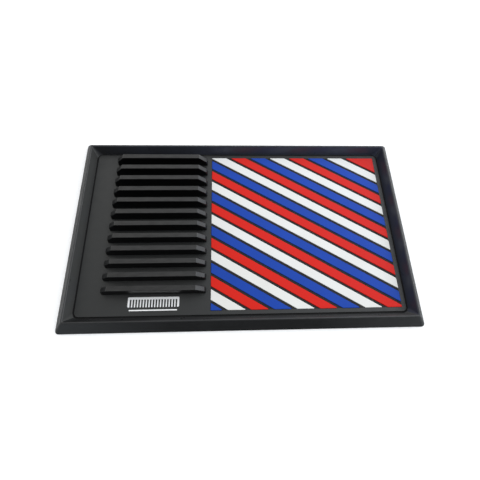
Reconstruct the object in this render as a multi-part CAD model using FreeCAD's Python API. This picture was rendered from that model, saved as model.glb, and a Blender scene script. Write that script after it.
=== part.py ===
import FreeCAD, Part
import math
import os

from FreeCAD import Vector

# A barber's station mat: a shallow black tray with a raised rim, a matt deck laid
# in it, twelve ribs that combs and clippers stand between, and a field of slanted
# blue, white and red inlays to lay tools on.
#
# Millimetres. X runs left to right, Y from the front edge to the back edge, Z up.
# The origin is on the table, under the middle of the mat. One STEP file per piece.

# Tray: outline, rim and floor
BASE_LENGTH = 400.0          # outer foot of the rim, left to right
BASE_WIDTH = 240.0           # outer foot of the rim, front to back
BASE_EDGE_HEIGHT = 1.2       # upright edge at the table, before the outer slope
BASE_CORNER_RADIUS = 4.0
RIM_HEIGHT = 12.8            # table to the top of the crest
CREST_INSET = 10.2           # outer foot to the middle of the crest
CREST_RADIUS = 1.2           # rounding of the crest in section
CREST_CORNER_RADIUS = 2.0    # plan radius of the crest's corners
CREST_STEPS = 6              # facets that make up the rounded crest
FLOOR_THICKNESS = 1.0

# Deck: the matt sheet inside the rim
DECK_LENGTH = 366.0
DECK_WIDTH = 206.0
DECK_THICKNESS = 1.2
DECK_CORNER_RADIUS = 5.0
DECK_EDGE_RADIUS = 0.3
GROOVE_WIDTH = 2.3           # open groove between the deck and the rim's inner foot

# Ribs
RIB_COUNT = 12
RIB_PITCH = 15.15
RIB_LAST_CENTRE_Y = 91.0     # rib nearest the back edge
RIB_TOP_LEFT = -146.6
RIB_TOP_RIGHT = -52.0
RIB_TOP_WIDTH = 5.6
RIB_HEIGHT = 15.0            # above the deck
RIB_SHOULDER_HEIGHT = 6.7    # above the deck, where the sloping ends stop
RIB_SLOPE_RUN = 9.0          # length of each sloping end
RIB_SIDE_DRAFT = 0.95        # each side leans in by this much over its height
RIB_END_DRAFT = 1.3
RIB_CORNER_RADIUS = 1.6
RIB_TOP_CORNER_RADIUS = 0.6
RIB_EDGE_RADIUS = 0.4

# Striped field
FIELD_LEFT = -36.5
FIELD_RIGHT = 177.8
FIELD_MARGIN = 4.6           # border left on the deck's front and back edges
STRIPE_COLOURS = ("blue", "white", "red")
STRIPE_COUNT = 21
STRIPE_ANGLE = 31.0          # degrees that the stripes fall towards the right
STRIPE_PITCH = 13.17         # square to the stripes
STRIPE_GAP = 2.9             # black web between neighbouring stripes
STRIPE_FIRST_GAP_RISE = 9.9  # field's front left corner to the first gap, along the left edge
STRIPE_CORNER_RADIUS = 0.5
STRIPE_END_RADIUS = 3.0      # where a stripe's back edge meets the field's right edge
STRIPE_EDGE_RADIUS = 0.3
STRIPE_PROUD = 0.6           # how far a stripe stands above the deck
POCKET_DEPTH = 0.8
POCKET_CLEARANCE = 0.3       # open slot all round a stripe

# Printed mark: a plain comb over a thin rule
COMB_CENTRE_X = -99.0
COMB_BACK_Y = -82.6
COMB_LENGTH = 56.0
COMB_SPINE_WIDTH = 2.6
COMB_END_WIDTH = 2.2
COMB_TOOTH_COUNT = 16
COMB_TOOTH_LENGTH = 8.4
COMB_TOOTH_SHARE = 0.42      # tooth width as a share of the tooth pitch
COMB_CORNER_RADIUS = 1.2
COMB_OVERCUT = 1.0           # how far a gap's cutter reaches past the tips of the teeth
RULE_GAP = 2.6
RULE_LENGTH = 52.0
RULE_WIDTH = 1.3
RULE_CORNER_RADIUS = 0.6
PRINT_THICKNESS = 0.12

UP = Vector(0.0, 0.0, 1.0)
TOLERANCE = 1.0e-4
HALF_LENGTH = BASE_LENGTH / 2.0
HALF_WIDTH = BASE_WIDTH / 2.0
DECK_TOP = FLOOR_THICKNESS + DECK_THICKNESS
FOOT_INSET = HALF_LENGTH - DECK_LENGTH / 2.0 - GROOVE_WIDTH
FOOT_CORNER_RADIUS = DECK_CORNER_RADIUS + GROOVE_WIDTH


def towards(start, end):
    """Unit vector from one point to another."""
    return (end - start).normalize()


def rounded_outline(corners, radii, height):
    """Closed wire round a convex polygon, with an arc of its own radius at each corner.

    corners are (x, y) pairs, anticlockwise.
    """
    points = [Vector(x, y, height) for x, y in corners]
    arcs = []
    for index, corner in enumerate(points):
        to_previous = towards(corner, points[index - 1])
        to_next = towards(corner, points[(index + 1) % len(points)])
        half_angle = to_previous.getAngle(to_next) / 2.0
        tangent = radii[index] / math.tan(half_angle)
        to_centre = (to_previous + to_next).normalize()
        depth = radii[index] / math.sin(half_angle) - radii[index]
        arcs.append(Part.Arc(
            corner + to_previous * tangent,
            corner + to_centre * depth,
            corner + to_next * tangent,
        ).toShape())
    edges = []
    for index, arc in enumerate(arcs):
        following = arcs[(index + 1) % len(arcs)]
        start = arc.Vertexes[-1].Point
        end = following.Vertexes[0].Point
        edges.append(arc)
        edges.append(Part.LineSegment(start, end).toShape())
    return Part.Wire(edges)


def rounded_rectangle(low_x, high_x, low_y, high_y, radius, height):
    """Closed wire of a rectangle with rounded corners."""
    corners = [(high_x, low_y), (high_x, high_y), (low_x, high_y), (low_x, low_y)]
    return rounded_outline(corners, [radius] * len(corners), height)


def inset_outline(inset, radius, height):
    """Rounded rectangle a given distance inside the mat's outer foot."""
    half_x = HALF_LENGTH - inset
    half_y = HALF_WIDTH - inset
    return rounded_rectangle(-half_x, half_x, -half_y, half_y, radius, height)


def prism(wire, thickness):
    """Solid of a flat closed wire raised by thickness."""
    return Part.Face(wire).extrude(UP * thickness)


def edges_at_height(solid, height):
    """Edges of a solid that lie wholly at one height."""
    found = []
    for edge in solid.Edges:
        box = edge.BoundBox
        if abs(box.ZMin - height) < TOLERANCE and abs(box.ZMax - height) < TOLERANCE:
            found.append(edge)
    return found


def crest_section():
    """(inset, height) points of the rounded crest, from the outer slope to the inner one."""
    rise = RIM_HEIGHT - BASE_EDGE_HEIGHT
    outer_lean = math.atan2(rise, CREST_INSET)
    inner_lean = math.atan2(RIM_HEIGHT - FLOOR_THICKNESS, FOOT_INSET - CREST_INSET)
    centre_height = RIM_HEIGHT - CREST_RADIUS
    start = math.pi / 2.0 + outer_lean
    end = math.pi / 2.0 - inner_lean
    points = []
    for step in range(CREST_STEPS + 1):
        angle = start + (end - start) * step / CREST_STEPS
        inset = CREST_INSET + CREST_RADIUS * math.cos(angle)
        height = centre_height + CREST_RADIUS * math.sin(angle)
        points.append((inset, height))
    return points


def tray():
    """Rim and floor in one moulding: a ruled skin through level outlines."""
    outlines = [
        inset_outline(0.0, BASE_CORNER_RADIUS, 0.0),
        inset_outline(0.0, BASE_CORNER_RADIUS, BASE_EDGE_HEIGHT),
    ]
    for inset, height in crest_section():
        outlines.append(inset_outline(inset, CREST_CORNER_RADIUS, height))
    outlines.append(inset_outline(FOOT_INSET, FOOT_CORNER_RADIUS, FLOOR_THICKNESS))
    return Part.makeLoft(outlines, True, True)


def clip(polygon, normal, limit):
    """Part of a convex polygon where the point's distance along normal is at most limit."""
    kept = []
    for index, point in enumerate(polygon):
        previous = polygon[index - 1]
        here_over = along(point, normal) - limit
        previous_over = along(previous, normal) - limit
        if (here_over > 0.0) != (previous_over > 0.0):
            share = previous_over / (previous_over - here_over)
            cross_x = previous[0] + (point[0] - previous[0]) * share
            cross_y = previous[1] + (point[1] - previous[1]) * share
            kept.append((cross_x, cross_y))
        if here_over <= 0.0:
            kept.append(point)
    return kept


def along(point, direction):
    """Distance of a point from the origin along a direction."""
    return point[0] * direction[0] + point[1] * direction[1]


def stripe_outline(number, height):
    """Outline of one stripe, counted from 0 at the field's front left corner.

    The last stripe takes up all that is left in the field's back right corner.
    """
    front = FIELD_MARGIN - DECK_WIDTH / 2.0
    angle = math.radians(STRIPE_ANGLE)
    across = (math.sin(angle), math.cos(angle))
    first_gap = along((FIELD_LEFT, front + STRIPE_FIRST_GAP_RISE), across)
    lower = first_gap + (number - 1) * STRIPE_PITCH + STRIPE_GAP / 2.0
    upper = first_gap + number * STRIPE_PITCH - STRIPE_GAP / 2.0
    polygon = [(FIELD_LEFT, front), (FIELD_RIGHT, front), (FIELD_RIGHT, -front), (FIELD_LEFT, -front)]
    polygon = clip(polygon, (-across[0], -across[1]), -lower)
    if number < STRIPE_COUNT - 1:
        polygon = clip(polygon, across, upper)
    radii = []
    for corner in polygon:
        on_right_edge = abs(corner[0] - FIELD_RIGHT) < TOLERANCE
        on_upper_edge = abs(along(corner, across) - upper) < TOLERANCE
        if on_right_edge and on_upper_edge:
            radii.append(STRIPE_END_RADIUS)
        else:
            radii.append(STRIPE_CORNER_RADIUS)
    return rounded_outline(polygon, radii, height)


def stripe(number):
    """One inlay, seated in its pocket and standing a little proud."""
    bottom = DECK_TOP - POCKET_DEPTH
    top = DECK_TOP + STRIPE_PROUD
    solid = prism(stripe_outline(number, bottom), top - bottom)
    return solid.makeFillet(STRIPE_EDGE_RADIUS, edges_at_height(solid, top))


def pocket(number):
    """Cutter for the pocket of one stripe, with a slot's clearance all round."""
    seat = Part.Face(stripe_outline(number, DECK_TOP - POCKET_DEPTH))
    return seat.makeOffset2D(POCKET_CLEARANCE).extrude(UP * (POCKET_DEPTH + STRIPE_PROUD))


def deck():
    """Matt sheet with one shallow pocket for each stripe."""
    half_x = DECK_LENGTH / 2.0
    half_y = DECK_WIDTH / 2.0
    outline = rounded_rectangle(
        -half_x, half_x, -half_y, half_y, DECK_CORNER_RADIUS, FLOOR_THICKNESS
    )
    solid = prism(outline, DECK_THICKNESS)
    solid = solid.makeFillet(DECK_EDGE_RADIUS, edges_at_height(solid, DECK_TOP))
    return solid.cut([pocket(number) for number in range(STRIPE_COUNT)])


def rib(number):
    """One rib, counted from the front, with a slope down to a shoulder at each end."""
    centre_y = RIB_LAST_CENTRE_Y - (RIB_COUNT - number) * RIB_PITCH
    top_half = RIB_TOP_WIDTH / 2.0
    shoulder_share = 1.0 - RIB_SHOULDER_HEIGHT / RIB_HEIGHT
    shoulder_half = top_half + RIB_SIDE_DRAFT * shoulder_share
    base_half = top_half + RIB_SIDE_DRAFT
    base_reach = RIB_SLOPE_RUN + RIB_END_DRAFT
    levels = [
        (0.0, base_reach, base_half, RIB_CORNER_RADIUS),
        (RIB_SHOULDER_HEIGHT, RIB_SLOPE_RUN, shoulder_half, RIB_CORNER_RADIUS),
        (RIB_HEIGHT, 0.0, top_half, RIB_TOP_CORNER_RADIUS),
    ]
    outlines = []
    for height, reach, half, radius in levels:
        outlines.append(rounded_rectangle(
            RIB_TOP_LEFT - reach, RIB_TOP_RIGHT + reach,
            centre_y - half, centre_y + half,
            radius, DECK_TOP + height,
        ))
    solid = Part.makeLoft(outlines, True, True)
    top_edges = edges_at_height(solid, DECK_TOP + RIB_HEIGHT)
    return solid.makeFillet(RIB_EDGE_RADIUS, top_edges)


def printed_comb():
    """Comb shape printed on the deck: a spine, two end bars and a row of teeth."""
    left = COMB_CENTRE_X - COMB_LENGTH / 2.0
    right = COMB_CENTRE_X + COMB_LENGTH / 2.0
    spine_front = COMB_BACK_Y - COMB_SPINE_WIDTH
    front = spine_front - COMB_TOOTH_LENGTH
    comb = prism(
        rounded_rectangle(left, right, front, COMB_BACK_Y, COMB_CORNER_RADIUS, DECK_TOP),
        PRINT_THICKNESS,
    )
    tooth_span = COMB_LENGTH - 2.0 * COMB_END_WIDTH
    gap_count = COMB_TOOTH_COUNT + 1
    pitch = tooth_span / (COMB_TOOTH_COUNT + 1.0 - COMB_TOOTH_SHARE)
    gap_width = pitch * (1.0 - COMB_TOOTH_SHARE)
    gap_length = COMB_TOOTH_LENGTH + COMB_OVERCUT
    gaps = []
    for number in range(gap_count):
        gap_left = left + COMB_END_WIDTH + number * pitch
        corner = Vector(gap_left, front - COMB_OVERCUT, DECK_TOP)
        gaps.append(Part.makeBox(gap_width, gap_length, PRINT_THICKNESS, corner))
    return comb.cut(gaps)


def printed_rule():
    """Thin rule printed under the comb."""
    back = COMB_BACK_Y - COMB_SPINE_WIDTH - COMB_TOOTH_LENGTH - RULE_GAP
    half = RULE_LENGTH / 2.0
    outline = rounded_rectangle(
        COMB_CENTRE_X - half, COMB_CENTRE_X + half,
        back - RULE_WIDTH, back,
        RULE_CORNER_RADIUS, DECK_TOP,
    )
    return prism(outline, PRINT_THICKNESS)


def write(name, solid):
    """Save one piece as parts/NAME.step."""
    solid.exportStep("parts/" + name + ".step")
    print(name, "valid" if solid.isValid() else "NOT VALID", round(solid.Volume, 1))


os.makedirs("parts", exist_ok=True)
write("tray", tray())
write("deck", deck())
for rib_number in range(1, RIB_COUNT + 1):
    write("rib_" + format(rib_number, "02d"), rib(rib_number))
for stripe_number in range(STRIPE_COUNT):
    colour = STRIPE_COLOURS[stripe_number % len(STRIPE_COLOURS)]
    write("stripe_" + format(stripe_number + 1, "02d") + "_" + colour, stripe(stripe_number))
write("printed_comb", printed_comb())
write("printed_rule", printed_rule())
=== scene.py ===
import math

import bpy
from mathutils import Matrix, Vector


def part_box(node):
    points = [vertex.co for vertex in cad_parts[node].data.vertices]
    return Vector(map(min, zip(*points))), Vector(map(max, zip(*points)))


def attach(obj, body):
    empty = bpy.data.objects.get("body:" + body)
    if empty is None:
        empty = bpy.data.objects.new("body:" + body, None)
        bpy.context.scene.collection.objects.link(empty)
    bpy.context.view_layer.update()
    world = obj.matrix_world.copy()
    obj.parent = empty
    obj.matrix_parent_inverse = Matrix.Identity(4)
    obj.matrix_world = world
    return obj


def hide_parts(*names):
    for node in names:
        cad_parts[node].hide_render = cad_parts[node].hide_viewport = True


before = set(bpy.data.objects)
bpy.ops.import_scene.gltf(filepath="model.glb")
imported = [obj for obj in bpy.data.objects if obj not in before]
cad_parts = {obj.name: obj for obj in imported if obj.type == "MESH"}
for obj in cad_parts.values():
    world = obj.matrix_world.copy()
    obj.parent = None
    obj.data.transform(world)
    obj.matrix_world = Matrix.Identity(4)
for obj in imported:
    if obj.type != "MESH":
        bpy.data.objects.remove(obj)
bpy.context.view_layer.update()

# A barber's station mat on a pale studio floor. Metres, in the CAD frame: X to the
# right, Y to the back, Z up, with the origin on the floor under the mat's middle.
MM = 0.001

# Camera
CAMERA_PLACE = Vector((-17.2 * MM, -140.6 * MM, 340.7 * MM))
CAMERA_TARGET = Vector((-2.3 * MM, -15.7 * MM, 0.0))
CAMERA_LENS = 22.7
CAMERA_ROLL = math.radians(5.85)

# Studio
FLOOR_SIDE = 12.0
FLOOR_COLOUR = (0.95, 0.95, 0.95)
FLOOR_ROUGHNESS = 0.7
FLOOR_SPECULAR = 0.2
FLOOR_UNEVEN_SHARE = 0.985       # the floor's darker patches as a share of its colour
FLOOR_GLOW = 0.15
BACKDROP_COLOUR = (1.0, 1.0, 1.0)
# Soft lights on the dome: azimuth from the right hand towards the back, elevation and
# spread in degrees, then the colour and brightness at the middle of the light
LIGHTS = (
    (0.0, 8.0, 24.0, (1.9, 2.0, 2.1)),       # low, at the right hand
    (10.0, 38.0, 24.0, (1.3, 1.35, 1.4)),
    (50.0, 38.0, 24.0, (2.05, 2.1, 2.2)),    # key light, behind on the right
    (135.0, 8.0, 24.0, (1.0, 0.95, 0.9)),    # low, behind on the left
    (180.0, 8.0, 24.0, (0.5, 0.55, 0.6)),
    (155.0, 38.0, 24.0, (0.9, 0.9, 0.85)),   # fill at the left hand
    (90.0, 78.0, 24.0, (0.28, 0.28, 0.28)),  # overhead
)

# Tray section, measured inwards from the outer foot and upwards from the floor
BASE_EDGE_HEIGHT = 1.2 * MM
BASE_CORNER_RADIUS = 4.0 * MM
BASE_ARRIS = 0.5 * MM
BASE_EDGE_BREAK = (              # inset, and rise above the edge's height, where it turns
    (0.0, -0.25 * MM),
    (0.05 * MM, 0.0),
    (0.25 * MM, 0.22 * MM),
)
CREST_INSET = 10.2 * MM
CREST_RADIUS = 1.2 * MM
CREST_CORNER_RADIUS = 2.0 * MM
CREST_STEPS = 14
GROOVE_WIDTH = 2.3 * MM
FLOOR_THICKNESS = 1.0 * MM
DECK_CORNER_RADIUS = 5.0 * MM
FOOT_FILLET = 0.6 * MM           # where the inner slope meets the groove's floor
FOOT_FILLET_MIDDLE = (0.1 * MM, 0.15 * MM)    # inset and rise of the fillet's middle point
CORNER_STEPS = 12

# Ribs
RIB_SLOPE_RUN = 9.0 * MM
RIB_END_DRAFT = 1.3 * MM
RIB_SIDE_DRAFT = 0.95 * MM
RIB_SHOULDER_HEIGHT = 6.7 * MM
RIB_CORNER_RADIUS = 1.6 * MM
RIB_TOP_CORNER_RADIUS = 0.6 * MM
RIB_ARRIS = 0.32 * MM

# Stripes
STRIPE_ARRIS = 0.45 * MM
ARRIS_STEPS = 5

# Where one finish passes into another
GROOVE_SHADE_SPAN = (1.02 * MM, 1.4 * MM)     # height: painted shade below, the slope's colour above
FLANK_SPAN = (-0.2 * MM, 1.2 * MM)            # outwards from the tray's crest line
WORN_CREST_DEPTH = 1.2 * MM
LIGHTER_TOP_DEPTH = 1.0 * MM
# Spans over which the tray's painted light and shade change
LEFT_TO_RIGHT_SPAN = (-190 * MM, 190 * MM)
FRONT_TO_BACK_SPAN = (-50 * MM, 50 * MM)
ENDS_SPAN = (80 * MM, 190 * MM)               # to the left and right of the middle
DRIFT_SPAN = (-60 * MM, 250 * MM)             # X and Y together, for the stripes' painted light
PAINTED_LIGHT_SHARE = 0.65                            # the share of the stripes' drift that is painted light, rising towards the back right; the rest is uneven tone
PATCH_STRENGTH = 0.1
WORN_LEAST = 0.2
DUST_SPAN = (0.74, 0.8)                       # noise values where dust starts and is full
SPECK_SPAN = (0.76, 0.82)
SPECK_STRENGTH = 0.5
THIN_INK_SPAN = (0.55, 0.72)
THIN_INK_STRENGTH = 0.35

# Base colours. Two in a pair are blended: by noise, or where it says so from end to end.
# The tray's near-black colour carries painted light: lighter on the left side, dark at the front
# left, and a navy painted reflection rising towards the back right
TRAY_SHORT_SIDES_PAINTED_LIGHT = ((0.042, 0.0425, 0.041), (0.026, 0.030, 0.046))    # left side, right side
TRAY_FRONT_SIDE_PAINTED_LIGHT = ((0.014, 0.0145, 0.015), (0.056, 0.057, 0.059))     # left end, right end
TRAY_BACK_SIDE_PAINTED_LIGHT = ((0.036, 0.037, 0.040), (0.075, 0.086, 0.128))       # left end, right end
TRAY_FLANK_PAINTED_SHADE = ((0.004, 0.0045, 0.005), (0.028, 0.03, 0.032))           # middle, ends: painted shade, lighter towards the ends of the front and back
TRAY_WORN_CREST = (0.03, 0.03, 0.031)
# Painted shade in the groove round the deck
TRAY_GROOVE_PAINTED_SHADE = (0.002, 0.002, 0.0024)
DECK_SHADES = ((0.0088, 0.0098, 0.0102), (0.0134, 0.0146, 0.0146))
DECK_DUST = (0.06, 0.06, 0.06)
# Painted shade on the deck's webs between the stripes
DECK_WEBS_PAINTED_SHADE = (0.002, 0.002, 0.0025)
RIB_SHADES = ((0.0008, 0.0009, 0.0012), (0.0016, 0.0018, 0.0023))
# Lighter colour in patches over the top of each rib
RIB_LIGHTER_TOP = (0.014, 0.014, 0.014)
STRIPE_TONES_AND_PAINTED_LIGHT = {    # front left, back right: uneven tone and painted light, warmer at the front left, cooler and brighter at the back right
    "blue": ((0.010, 0.052, 0.33), (0.010, 0.064, 0.44)),
    "white": ((0.715, 0.705, 0.675), (0.80, 0.82, 0.825)),
    "red": ((0.615, 0.016, 0.008), (0.64, 0.017, 0.015)),
}
SPECK_SHARE = 0.45               # a speck's colour as a share of the stripe's
INK_THICK = (0.9, 0.9, 0.9)
INK_THIN = (0.66, 0.66, 0.67)

# Roughness, smoothest and roughest, and what some places add to it
TRAY_ROUGHNESS = (0.26, 0.36)
TRAY_FLANK_HAZE = 0.22
TRAY_LONG_FLANK_HAZE = 0.25
TRAY_GROOVE_HAZE = 0.4
TRAY_WORN_HAZE = 0.06
DECK_ROUGHNESS = (0.42, 0.52)
DECK_WEBS_HAZE = 0.3
RIB_ROUGHNESS = (0.3, 0.4)
STRIPE_ROUGHNESS = (0.34, 0.46)
INK_ROUGHNESS = (0.4, 0.55)
TRAY_SPECULAR = 0.25
STRIPE_SPECULAR = 0.12

# Relief: how far across its features are, and how deep
TRAY_WAVES = (45 * MM, 0.25 * MM)
TRAY_PEEL = (0.9 * MM, 0.004 * MM)
DECK_COARSE = (0.7 * MM, 0.02 * MM)
DECK_FINE = (0.25 * MM, 0.012 * MM)
RIB_FLOW = (6 * MM, 0.05 * MM)
RIB_FLOW_STRETCH = (0.12, 1.0, 1.0)
RIB_PEEL = (0.6 * MM, 0.006 * MM)
STRIPE_SWELL = (11 * MM, 0.08 * MM)
STRIPE_GRAIN = (0.5 * MM, 0.006 * MM)
INK_GRAIN = (0.3 * MM, 0.01 * MM)


# ---------------------------------------------------------------- mesh helpers

def rounded_rectangle(centre, half_x, half_y, radius, height):
    """Points of a level rectangle with rounded corners, anticlockwise."""
    points = []
    corners = ((1, -1), (1, 1), (-1, 1), (-1, -1))
    for index, (side_x, side_y) in enumerate(corners):
        arc_x = centre[0] + side_x * (half_x - radius)
        arc_y = centre[1] + side_y * (half_y - radius)
        start = -math.pi / 2.0 + index * math.pi / 2.0
        for step in range(CORNER_STEPS + 1):
            angle = start + math.pi / 2.0 * step / CORNER_STEPS
            x = arc_x + radius * math.cos(angle)
            y = arc_y + radius * math.sin(angle)
            points.append(Vector((x, y, height)))
    return points


def loft(name, rings):
    """Closed mesh piece through rings of equally many points, capped at both ends."""
    count = len(rings[0])
    vertices = [point for ring in rings for point in ring]
    faces = [tuple(reversed(range(count)))]
    for level in range(len(rings) - 1):
        low = level * count
        high = low + count
        for index in range(count):
            following = (index + 1) % count
            faces.append((low + index, low + following, high + following, high + index))
    top = (len(rings) - 1) * count
    faces.append(tuple(range(top, top + count)))
    mesh = bpy.data.meshes.new(name)
    mesh.from_pydata(vertices, [], faces)
    mesh.validate()
    piece = bpy.data.objects.new(name, mesh)
    bpy.context.scene.collection.objects.link(piece)
    return piece


def bake_modifiers(piece):
    """Turn a piece's modifiers into its mesh."""
    graph = bpy.context.evaluated_depsgraph_get()
    mesh = bpy.data.meshes.new_from_object(piece.evaluated_get(graph))
    piece.modifiers.clear()
    piece.data = mesh


def smooth(piece, crease=40.0):
    """Smooth shading that keeps large flat faces flat and edges above crease degrees sharp."""
    piece.data.shade_smooth()
    piece.data.set_sharp_from_angle(angle=math.radians(crease))
    weighted = piece.modifiers.new("weighted", "WEIGHTED_NORMAL")
    weighted.keep_sharp = True
    bake_modifiers(piece)


def round_edges(piece, width, segments, above=30.0):
    """Round every edge that turns by more than above degrees."""
    bevel = piece.modifiers.new("bevel", "BEVEL")
    bevel.width = width
    bevel.segments = segments
    bevel.limit_method = "ANGLE"
    bevel.angle_limit = math.radians(above)
    bake_modifiers(piece)


def place(piece, node, material):
    """Show piece in place of a CAD node, with its material."""
    piece.data.materials.clear()
    piece.data.materials.append(material)
    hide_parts(node)
    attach(piece, "root")


# ---------------------------------------------------------------- materials

def field_box():
    """Lowest and highest corner of all the stripes together."""
    boxes = [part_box(name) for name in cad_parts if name.startswith("stripe_")]
    low = Vector([min(box[0][axis] for box in boxes) for axis in range(3)])
    high = Vector([max(box[1][axis] for box in boxes) for axis in range(3)])
    return low, high


class Surface:
    """One material's nodes, around a Principled shader and the piece's own coordinates."""

    def __init__(self, name):
        self.material = bpy.data.materials.new(name)
        self.material.use_nodes = True
        self.tree = self.material.node_tree
        self.shader = self.tree.nodes["Principled BSDF"]
        self.place = self.add("ShaderNodeTexCoord").outputs["Object"]

    def add(self, kind, **settings):
        """New node, with settings for its properties or, failing that, its inputs."""
        node = self.tree.nodes.new(kind)
        for key, value in settings.items():
            if hasattr(node, key):
                setattr(node, key, value)
            else:
                node.inputs[key].default_value = value
        return node

    def join(self, output, socket):
        self.tree.links.new(output, socket)

    def noise(self, size, detail=3.0, stretch=(1.0, 1.0, 1.0)):
        """Noise from 0 to 1 with features about size metres across."""
        mapping = self.add("ShaderNodeMapping", vector_type="POINT")
        mapping.inputs["Scale"].default_value = stretch
        self.join(self.place, mapping.inputs["Vector"])
        texture = self.add("ShaderNodeTexNoise", Scale=1.0 / size, Detail=detail)
        self.join(mapping.outputs["Vector"], texture.inputs["Vector"])
        return texture.outputs["Fac"]

    def spread(self, value, low, high, start=0.3, end=0.7):
        """Map value from start..end to low..high."""
        node = self.add("ShaderNodeMapRange")
        node.inputs["From Min"].default_value = start
        node.inputs["From Max"].default_value = end
        node.inputs["To Min"].default_value = low
        node.inputs["To Max"].default_value = high
        self.join(value, node.inputs["Value"])
        return node.outputs["Result"]

    def mix(self, factor, first, second):
        """Blend of two colours, each a tuple or a socket."""
        node = self.add("ShaderNodeMix", data_type="RGBA")
        self.join(factor, node.inputs["Factor"])
        for socket, colour in ((node.inputs[6], first), (node.inputs[7], second)):
            if isinstance(colour, tuple):
                socket.default_value = (*colour, 1.0)
            else:
                self.join(colour, socket)
        return node.outputs[2]

    def math(self, operation, first, second):
        """Sum, product and so on of two values, each a number or a socket."""
        node = self.add("ShaderNodeMath", operation=operation)
        for socket, value in zip(node.inputs, (first, second)):
            if isinstance(value, (int, float)):
                socket.default_value = value
            else:
                self.join(value, socket)
        return node.outputs["Value"]

    def relief(self, size_and_depth, detail=2.0, stretch=(1.0, 1.0, 1.0), under=None):
        """Noise bump, on top of another bump if there is one."""
        size, depth = size_and_depth
        node = self.add("ShaderNodeBump", Distance=depth)
        self.join(self.noise(size, detail, stretch), node.inputs["Height"])
        if under is not None:
            self.join(under, node.inputs["Normal"])
        return node.outputs["Normal"]

    def coordinate(self, axis):
        """One of the piece's own coordinates, by its letter."""
        split = self.add("ShaderNodeSeparateXYZ")
        self.join(self.place, split.inputs["Vector"])
        return split.outputs[axis]

    def above(self, low, high):
        """0 below the height low, 1 above high."""
        return self.spread(self.coordinate("Z"), 0.0, 1.0, low, high)

    def towards_back_right(self):
        """0 over the front left half of the mat, rising to 1 at its back right corner."""
        across = self.math("ADD", self.coordinate("X"), self.coordinate("Y"))
        return self.spread(across, 0.0, 1.0, *DRIFT_SPAN)

    def towards_ends(self):
        """0 over the middle of the mat's length, rising to 1 at its left and right ends."""
        off = self.math("ABSOLUTE", self.coordinate("X"), 0.0)
        return self.spread(off, 0.0, 1.0, *ENDS_SPAN)

    def beyond_crest(self, axis):
        """Distance outwards from the tray's crest line along one axis, negative inside it."""
        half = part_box("tray")[1]["XYZ".index(axis)]
        off = self.math("ABSOLUTE", self.coordinate(axis), 0.0)
        return self.math("SUBTRACT", off, half - CREST_INSET)

    def outside_crest(self):
        """1 on the tray's outer flanks, 0 inside the line of its crest."""
        beyond = self.math("MAXIMUM", self.beyond_crest("X"), self.beyond_crest("Y"))
        return self.spread(beyond, 0.0, 1.0, *FLANK_SPAN)

    def on_long_side(self):
        """1 on the tray's front and back sides, 0 on its left and right sides."""
        return self.math("GREATER_THAN", self.beyond_crest("Y"), self.beyond_crest("X"))

    def inside_field(self):
        """1 inside the striped field, 0 on the rest of the deck."""
        low, high = field_box()
        middle = (low + high) / 2.0
        off_x = self.math("ABSOLUTE", self.math("SUBTRACT", self.coordinate("X"), middle.x), 0.0)
        off_y = self.math("ABSOLUTE", self.math("SUBTRACT", self.coordinate("Y"), middle.y), 0.0)
        in_x = self.math("LESS_THAN", off_x, (high.x - low.x) / 2.0)
        in_y = self.math("LESS_THAN", off_y, (high.y - low.y) / 2.0)
        return self.math("MULTIPLY", in_x, in_y)


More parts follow.
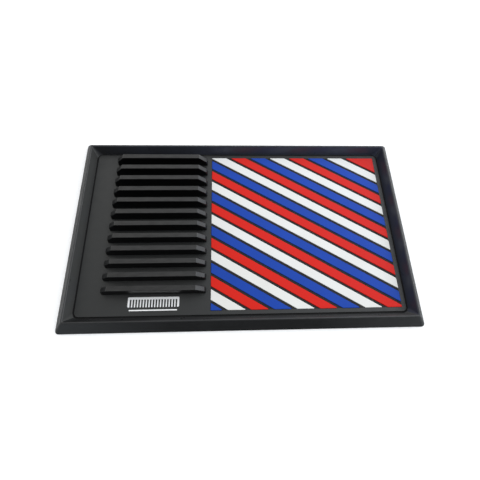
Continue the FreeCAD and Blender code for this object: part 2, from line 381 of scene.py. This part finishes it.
def tray_material():
    """Satin black moulding with painted light: a lighter left side, a navy painted reflection
    rising towards the back right, painted shade on the outer flanks and in the groove; orange
    peel, slow waves, haze and a worn crest.
    """
    surface = Surface("tray_satin")
    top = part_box("tray")[1].z
    # Painted light and reflection by place on the tray: lighter left side, dark front left, navy
    # towards the back right, in uneven patches
    patches = surface.spread(surface.noise(30 * MM), -PATCH_STRENGTH, PATCH_STRENGTH)
    right = surface.spread(surface.coordinate("X"), 0.0, 1.0, *LEFT_TO_RIGHT_SPAN)
    right = surface.math("ADD", right, patches)
    back = surface.spread(surface.coordinate("Y"), 0.0, 1.0, *FRONT_TO_BACK_SPAN)
    short_sides_painted_light = surface.mix(right, *TRAY_SHORT_SIDES_PAINTED_LIGHT)
    front_side_painted_light = surface.mix(right, *TRAY_FRONT_SIDE_PAINTED_LIGHT)
    back_side_painted_light = surface.mix(right, *TRAY_BACK_SIDE_PAINTED_LIGHT)
    long_sides_painted_light = surface.mix(back, front_side_painted_light, back_side_painted_light)
    shade = surface.mix(surface.on_long_side(), short_sides_painted_light, long_sides_painted_light)
    crest = surface.above(top - WORN_CREST_DEPTH, top)
    worn = surface.math("MULTIPLY", crest,
                        surface.spread(surface.noise(4 * MM, 5.0), WORN_LEAST, 1.0))
    shade = surface.mix(worn, shade, TRAY_WORN_CREST)
    flank = surface.outside_crest()
    long_flank = surface.math("MULTIPLY", flank, surface.on_long_side())
    # Painted shade on the outer flanks, lightening towards the ends of the front and back flanks
    flank_middle_shade, flank_ends_shade = TRAY_FLANK_PAINTED_SHADE
    shade = surface.mix(flank, shade, flank_middle_shade)
    shade = surface.mix(surface.math("MULTIPLY", long_flank, surface.towards_ends()),
                        shade, flank_ends_shade)
    # Painted shade in the groove, with hazier gloss there
    groove_shade_mask = surface.math("SUBTRACT", 1.0, surface.above(*GROOVE_SHADE_SPAN))
    groove_shade_mask = surface.math("MULTIPLY", groove_shade_mask, surface.math("SUBTRACT", 1.0, flank))
    surface.join(surface.mix(groove_shade_mask, shade, TRAY_GROOVE_PAINTED_SHADE),
                 surface.shader.inputs["Base Color"])
    surface.shader.inputs["Specular IOR Level"].default_value = TRAY_SPECULAR
    haze = surface.spread(surface.noise(22 * MM, 6.0), *TRAY_ROUGHNESS)
    hazier = ((flank, TRAY_FLANK_HAZE), (long_flank, TRAY_LONG_FLANK_HAZE),
              (groove_shade_mask, TRAY_GROOVE_HAZE), (worn, TRAY_WORN_HAZE))
    for zone, more in hazier:
        haze = surface.math("ADD", haze, surface.math("MULTIPLY", zone, more))
    surface.join(haze, surface.shader.inputs["Roughness"])
    waves = surface.relief(TRAY_WAVES, detail=1.0)
    surface.join(surface.relief(TRAY_PEEL, under=waves), surface.shader.inputs["Normal"])
    return surface.material


def deck_material():
    """Matt charcoal sheet with a fine spark-eroded grain; painted shade on the webs between the
    stripes.
    """
    surface = Surface("deck_matt")
    shade = surface.mix(surface.noise(26 * MM, 4.0), *DECK_SHADES)
    dust = surface.spread(surface.noise(0.8 * MM, 2.0), 0.0, 1.0, *DUST_SPAN)
    shade = surface.mix(dust, shade, DECK_DUST)
    # Painted shade over the striped field, where only the webs show
    field = surface.inside_field()
    surface.join(surface.mix(field, shade, DECK_WEBS_PAINTED_SHADE), surface.shader.inputs["Base Color"])
    haze = surface.spread(surface.noise(9 * MM, 4.0), *DECK_ROUGHNESS)
    surface.join(surface.math("ADD", haze, surface.math("MULTIPLY", field, DECK_WEBS_HAZE)),
                 surface.shader.inputs["Roughness"])
    coarse = surface.relief(DECK_COARSE)
    surface.join(surface.relief(DECK_FINE, under=coarse), surface.shader.inputs["Normal"])
    return surface.material


def rib_material():
    """Satin black: smooth, with faint flow lines along each rib and patchy lighter tops."""
    surface = Surface("rib_satin")
    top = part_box("rib_01")[1].z
    shade = surface.mix(surface.noise(18 * MM, 3.0), *RIB_SHADES)
    lighter_top = surface.math("MULTIPLY", surface.above(top - LIGHTER_TOP_DEPTH, top),
                          surface.spread(surface.noise(3 * MM, 5.0, (0.3, 1.0, 1.0)), 0.0, 1.0))
    surface.join(surface.mix(lighter_top, shade, RIB_LIGHTER_TOP),
                 surface.shader.inputs["Base Color"])
    surface.join(surface.spread(surface.noise(12 * MM, 5.0, (0.25, 1.0, 1.0)), *RIB_ROUGHNESS),
                 surface.shader.inputs["Roughness"])
    flow = surface.relief(RIB_FLOW, stretch=RIB_FLOW_STRETCH)
    surface.join(surface.relief(RIB_PEEL, under=flow), surface.shader.inputs["Normal"])
    return surface.material


def stripe_material(name, front_left, back_right):
    """Soft poured inlay: slow drift between two tones, part uneven tone and part painted light
    rising towards the back right; faint specks and a satin skin.
    """
    surface = Surface(name)
    uneven = surface.spread(surface.noise(38 * MM, 4.0), 0.0, 1.0 - PAINTED_LIGHT_SHARE)
    # Painted light: this part of the drift rises steadily towards the back right
    painted_light_drift = surface.math("MULTIPLY", surface.towards_back_right(), PAINTED_LIGHT_SHARE)
    tone = surface.mix(surface.math("ADD", uneven, painted_light_drift), front_left, back_right)
    specks = surface.spread(surface.noise(0.9 * MM, 1.0), 0.0, SPECK_STRENGTH, *SPECK_SPAN)
    surface.join(surface.mix(specks, tone, tuple(SPECK_SHARE * part for part in front_left)),
                 surface.shader.inputs["Base Color"])
    surface.join(surface.spread(surface.noise(14 * MM, 5.0), *STRIPE_ROUGHNESS),
                 surface.shader.inputs["Roughness"])
    swell = surface.relief(STRIPE_SWELL)
    surface.join(surface.relief(STRIPE_GRAIN, under=swell), surface.shader.inputs["Normal"])
    surface.shader.inputs["Specular IOR Level"].default_value = STRIPE_SPECULAR
    return surface.material


def print_material():
    """White ink, a little thin in places so that the black shows through."""
    surface = Surface("print_white")
    thin = surface.spread(surface.noise(0.5 * MM, 3.0), 0.0, THIN_INK_STRENGTH, *THIN_INK_SPAN)
    surface.join(surface.mix(thin, INK_THICK, INK_THIN), surface.shader.inputs["Base Color"])
    surface.join(surface.spread(surface.noise(2 * MM, 3.0), *INK_ROUGHNESS),
                 surface.shader.inputs["Roughness"])
    surface.join(surface.relief(INK_GRAIN), surface.shader.inputs["Normal"])
    return surface.material


def floor_material():
    """Plain pale floor, lit a little from below, with a barely visible unevenness."""
    surface = Surface("studio_floor")
    darker = tuple(FLOOR_UNEVEN_SHARE * part for part in FLOOR_COLOUR)
    surface.join(surface.mix(surface.noise(0.3), FLOOR_COLOUR, darker),
                 surface.shader.inputs["Base Color"])
    surface.shader.inputs["Roughness"].default_value = FLOOR_ROUGHNESS
    surface.shader.inputs["Specular IOR Level"].default_value = FLOOR_SPECULAR
    surface.shader.inputs["Emission Color"].default_value = (1.0, 1.0, 1.0, 1.0)
    surface.shader.inputs["Emission Strength"].default_value = FLOOR_GLOW
    return surface.material


# ---------------------------------------------------------------- pieces

def arc_points(centre, radius, start, end, steps):
    """(across, up) points along an arc from start to end, in radians."""
    points = []
    for step in range(steps + 1):
        angle = start + (end - start) * step / steps
        points.append((centre[0] + radius * math.cos(angle), centre[1] + radius * math.sin(angle)))
    return points


def tray_section(half_length, height, deck_half_length):
    """(inset, height, corner radius) from the underside, over the crest, to the inner foot."""
    foot_inset = half_length - deck_half_length - GROOVE_WIDTH
    foot_radius = DECK_CORNER_RADIUS + GROOVE_WIDTH
    outer_lean = math.atan2(height - BASE_EDGE_HEIGHT, CREST_INSET)
    inner_lean = math.atan2(height - FLOOR_THICKNESS, foot_inset - CREST_INSET)
    under = arc_points((BASE_ARRIS, BASE_ARRIS), BASE_ARRIS,
                       math.radians(270.0), math.radians(180.0), ARRIS_STEPS)
    section = [(inset, up, BASE_CORNER_RADIUS) for inset, up in under]
    for inset, rise in BASE_EDGE_BREAK:
        section.append((inset, BASE_EDGE_HEIGHT + rise, BASE_CORNER_RADIUS))
    crest = arc_points((CREST_INSET, height - CREST_RADIUS), CREST_RADIUS,
                       math.pi / 2.0 + outer_lean, math.pi / 2.0 - inner_lean, CREST_STEPS)
    section += [(inset, up, CREST_CORNER_RADIUS) for inset, up in crest]
    share = FOOT_FILLET / (height - FLOOR_THICKNESS)
    run = foot_inset - crest[-1][0]
    section.append((foot_inset - run * share, FLOOR_THICKNESS + FOOT_FILLET, foot_radius))
    inward, rise = FOOT_FILLET_MIDDLE
    section.append((foot_inset + inward, FLOOR_THICKNESS + rise, foot_radius))
    section.append((foot_inset + FOOT_FILLET, FLOOR_THICKNESS, foot_radius))
    return section


def make_tray(material):
    """Rim and floor as one skin through level outlines."""
    low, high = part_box("tray")
    deck_half_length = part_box("deck")[1].x
    rings = []
    for inset, up, radius in tray_section(high.x, high.z, deck_half_length):
        rings.append(rounded_rectangle(
            (0.0, 0.0), high.x - inset, high.y - inset, radius, low.z + up))
    tray = loft("tray_rim", rings)
    smooth(tray)
    place(tray, "tray", material)


def make_rib(node, material):
    """Rib with leaning sides and a slope at each end, and every edge rounded."""
    low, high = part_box(node)
    centre = ((low.x + high.x) / 2.0, (low.y + high.y) / 2.0)
    half_x = (high.x - low.x) / 2.0
    half_y = (high.y - low.y) / 2.0
    height = high.z - low.z
    shoulder_lean = RIB_SIDE_DRAFT * RIB_SHOULDER_HEIGHT / height
    levels = (
        (0.0, 0.0, 0.0, RIB_CORNER_RADIUS),
        (RIB_SHOULDER_HEIGHT, RIB_END_DRAFT, shoulder_lean, RIB_CORNER_RADIUS),
        (height, RIB_END_DRAFT + RIB_SLOPE_RUN, RIB_SIDE_DRAFT, RIB_TOP_CORNER_RADIUS),
    )
    rings = []
    for up, end_lean, side_lean, radius in levels:
        rings.append(rounded_rectangle(
            centre, half_x - end_lean, half_y - side_lean, radius, low.z + up))
    rib = loft(node.replace("rib", "tool_rib"), rings)
    round_edges(rib, RIB_ARRIS, 4)
    smooth(rib)
    place(rib, node, material)


def bottom_outline(node):
    """The CAD node's outline at its lowest level, anticlockwise. The outline is convex."""
    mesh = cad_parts[node].data
    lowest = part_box(node)[0].z
    found = {}
    for vertex in mesh.vertices:
        if vertex.co.z < lowest + 0.01 * MM:
            found[(round(vertex.co.x, 6), round(vertex.co.y, 6))] = vertex.co.copy()
    points = list(found.values())
    middle = sum(points, Vector()) / len(points)
    return sorted(points, key=lambda point: math.atan2(point.y - middle.y, point.x - middle.x))


def shrink(points, distance, height):
    """Convex outline moved inwards by distance, at a new height."""
    moved = []
    for index, point in enumerate(points):
        before = (point - points[index - 1]).normalized()
        after = (points[(index + 1) % len(points)] - point).normalized()
        inward_before = Vector((-before.y, before.x, 0.0))
        inward_after = Vector((-after.y, after.x, 0.0))
        inward = inward_before + inward_after
        inward *= distance / (1.0 + inward_before.dot(inward_after))
        moved.append(Vector((point.x + inward.x, point.y + inward.y, height)))
    return moved


def make_stripe(node, material):
    """Inlay with a rounded top edge, on the CAD piece's own outline."""
    low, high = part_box(node)
    outline = bottom_outline(node)
    rings = [outline]
    edge = arc_points((STRIPE_ARRIS, high.z - STRIPE_ARRIS), STRIPE_ARRIS,
                      math.pi, math.pi / 2.0, ARRIS_STEPS)
    for inset, up in edge:
        rings.append(shrink(outline, inset, up))
    stripe = loft(node.replace("stripe", "inlay"), rings)
    smooth(stripe)
    place(stripe, node, material)


def carry_over(node, material):
    """Keep a CAD node and give it a finished material."""
    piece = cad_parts[node]
    piece.data.materials.clear()
    piece.data.materials.append(material)


# ---------------------------------------------------------------- studio

def make_floor():
    """Wide floor under the mat."""
    half = FLOOR_SIDE / 2.0
    mesh = bpy.data.meshes.new("floor")
    corners = [(-half, -half, 0.0), (half, -half, 0.0), (half, half, 0.0), (-half, half, 0.0)]
    mesh.from_pydata(corners, [], [(0, 1, 2, 3)])
    mesh.materials.append(floor_material())
    floor = bpy.data.objects.new("floor", mesh)
    bpy.context.scene.collection.objects.link(floor)


def make_dome():
    """Dark dome with a few wide soft lights on it, none of them in front.

    The camera sees a plain pale backdrop in its place.
    """
    world = bpy.data.worlds.new("studio")
    world.use_nodes = True
    bpy.context.scene.world = world
    tree = world.node_tree
    direction = tree.nodes.new("ShaderNodeTexCoord").outputs["Generated"]
    total = None
    for azimuth, elevation, spread, colour in LIGHTS:
        turn = math.radians(azimuth)
        rise = math.radians(elevation)
        sharpness = 1.0 / math.radians(spread) ** 2
        nearness = tree.nodes.new("ShaderNodeVectorMath")
        nearness.operation = "DOT_PRODUCT"
        nearness.inputs[1].default_value = (
            math.cos(rise) * math.cos(turn), math.cos(rise) * math.sin(turn), math.sin(rise))
        tree.links.new(direction, nearness.inputs[0])
        fall = tree.nodes.new("ShaderNodeMath")
        fall.operation = "MULTIPLY_ADD"
        fall.inputs[1].default_value = sharpness
        fall.inputs[2].default_value = -sharpness
        tree.links.new(nearness.outputs["Value"], fall.inputs[0])
        glow = tree.nodes.new("ShaderNodeMath")
        glow.operation = "EXPONENT"
        tree.links.new(fall.outputs["Value"], glow.inputs[0])
        light = tree.nodes.new("ShaderNodeVectorMath")
        light.operation = "SCALE"
        light.inputs[0].default_value = colour
        tree.links.new(glow.outputs["Value"], light.inputs["Scale"])
        if total is None:
            total = light.outputs["Vector"]
        else:
            both = tree.nodes.new("ShaderNodeVectorMath")
            both.operation = "ADD"
            tree.links.new(total, both.inputs[0])
            tree.links.new(light.outputs["Vector"], both.inputs[1])
            total = both.outputs["Vector"]
    lights = tree.nodes["Background"]
    tree.links.new(total, lights.inputs["Color"])
    backdrop = tree.nodes.new("ShaderNodeBackground")
    backdrop.inputs["Color"].default_value = (*BACKDROP_COLOUR, 1.0)
    seen = tree.nodes.new("ShaderNodeLightPath").outputs["Is Camera Ray"]
    either = tree.nodes.new("ShaderNodeMixShader")
    tree.links.new(seen, either.inputs["Fac"])
    tree.links.new(lights.outputs["Background"], either.inputs[1])
    tree.links.new(backdrop.outputs["Background"], either.inputs[2])
    tree.links.new(either.outputs["Shader"], tree.nodes["World Output"].inputs["Surface"])


def make_camera():
    """Camera at the mat's front left of centre, looking steeply down, rolled a little."""
    data = bpy.data.cameras.new("camera")
    data.sensor_width = 36.0
    data.lens = CAMERA_LENS
    data.clip_start = 0.01
    camera = bpy.data.objects.new("camera", data)
    bpy.context.scene.collection.objects.link(camera)
    look = (CAMERA_TARGET - CAMERA_PLACE).to_track_quat("-Z", "Y").to_matrix().to_4x4()
    roll = Matrix.Rotation(CAMERA_ROLL, 4, "Z")
    camera.matrix_world = Matrix.Translation(CAMERA_PLACE) @ look @ roll
    bpy.context.scene.camera = camera


bpy.context.scene.view_settings.view_transform = "Standard"
make_camera()
make_dome()
make_floor()

make_tray(tray_material())
carry_over("deck", deck_material())

satin = rib_material()
for rib_name in sorted(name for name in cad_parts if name.startswith("rib_")):
    make_rib(rib_name, satin)

inlays = {}
for colour_name, (front_left, back_right) in STRIPE_TONES_AND_PAINTED_LIGHT.items():
    inlays[colour_name] = stripe_material("inlay_" + colour_name, front_left, back_right)
for stripe_name in sorted(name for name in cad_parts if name.startswith("stripe_")):
    colour_name = stripe_name.split("_")[-1]
    make_stripe(stripe_name, inlays[colour_name])

ink = print_material()
carry_over("printed_comb", ink)
carry_over("printed_rule", ink)
